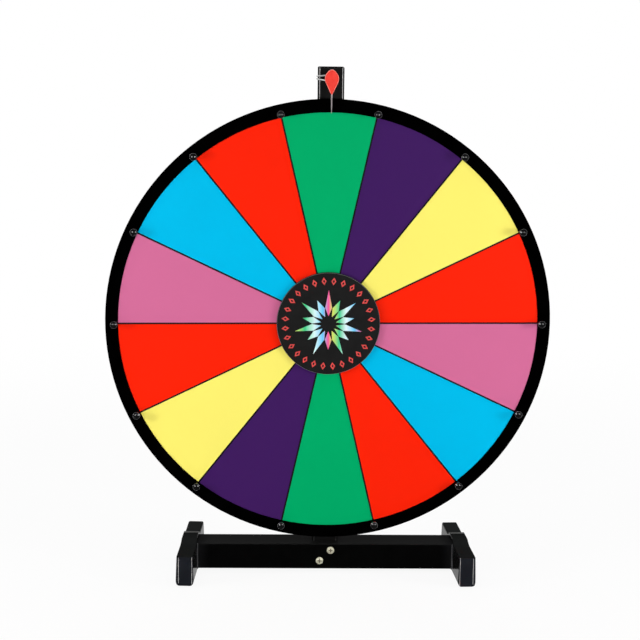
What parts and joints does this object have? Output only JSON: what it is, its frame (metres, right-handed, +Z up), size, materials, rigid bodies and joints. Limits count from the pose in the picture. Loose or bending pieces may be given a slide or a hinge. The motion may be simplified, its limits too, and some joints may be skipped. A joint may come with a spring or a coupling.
{
  "type": "carnival game wheel",
  "caption": "Tabletop prize wheel: a panelled disc with edge pegs that spins on ball bearings in front of a post on a footed stand, under a sprung pointer.",
  "frame": {"origin": "on the table, under the middle of the crossbar", "axes": "+X to the right seen from the front, +Y to the back, +Z up; the panels face -Y"},
  "size_m": [0.6096, 0.1656, 0.7071],
  "materials": {
    "black_steel": "satin black powder coat",
    "foot_plastic": "satin moulded black",
    "rubber": "matt",
    "zinc": "bright zinc plate",
    "bearing_steel": "ground",
    "spring_wire": "bright drawn wire",
    "board": "black lacquered fibreboard",
    "rim": "satin black",
    "green": "semi-gloss laminate",
    "purple": "semi-gloss laminate",
    "yellow": "semi-gloss laminate",
    "red": "semi-gloss laminate",
    "pink": "semi-gloss laminate",
    "blue": "semi-gloss laminate",
    "peg_plastic": "glossy black",
    "housing_metal": "die cast",
    "hub_plastic": "satin black",
    "pointer_red": "glossy red",
    "blade": "milky springy plastic"
  },
  "bodies": {
    "stand": {"crossbar": "black_steel", "foot_left": "foot_plastic", "foot_right": "foot_plastic", "foot_pads": "rubber", "foot_screws": "zinc", "post": "black_steel", "post_cap": "foot_plastic", "base_screws": "zinc", "base_nuts": "zinc", "axle_bolt": "zinc", "axle_washers": "zinc", "axle_nut": "zinc", "bearing_inner_races": "bearing_steel", "bearing_spacer": "zinc", "pivot_bolt": "zinc", "pivot_spacer": "zinc", "pivot_nuts": "zinc", "pointer_spring": "spring_wire"},
    "wheel": {"wheel_board": "board", "wheel_rim": "rim", "green_panels": "green", "purple_panels": "purple", "yellow_panels": "yellow", "red_panels": "red", "pink_panels": "pink", "blue_panels": "blue", "pegs": "peg_plastic", "peg_screws": "zinc", "bearing_housing": "housing_metal", "housing_screws": "zinc", "bearing_outer_races": "bearing_steel", "hub_cap": "hub_plastic"},
    "ball_rings": {"bearing_balls": "bearing_steel"},
    "pointer": {"pointer_plate": "pointer_red", "pointer_cover": "pointer_red", "pointer_blade": "blade"}
  },
  "joints": [
    {"name": "wheel_spin", "type": "hinge", "parent": "stand", "child": "wheel", "pos_m": [0, -0.0215, 0.3603], "axis": [0, 1, 0], "continuous": true, "deforming": ["pointer_blade"]},
    {"name": "ball_roll", "type": "hinge", "parent": "stand", "child": "ball_rings", "pos_m": [0, -0.0215, 0.3603], "axis": [0, 1, 0], "continuous": true},
    {"name": "pointer_swing", "type": "hinge", "parent": "stand", "child": "pointer", "pos_m": [0, -0.035, 0.6929], "axis": [0, 1, 0], "range_deg": [-30, 30], "stiffness_Nm_per_rad": 0.08, "deforming": ["pointer_spring"]}
  ],
  "couplings": [
    {"joint": "ball_roll", "follows": "wheel_spin", "ratio": 0.592}
  ]
}
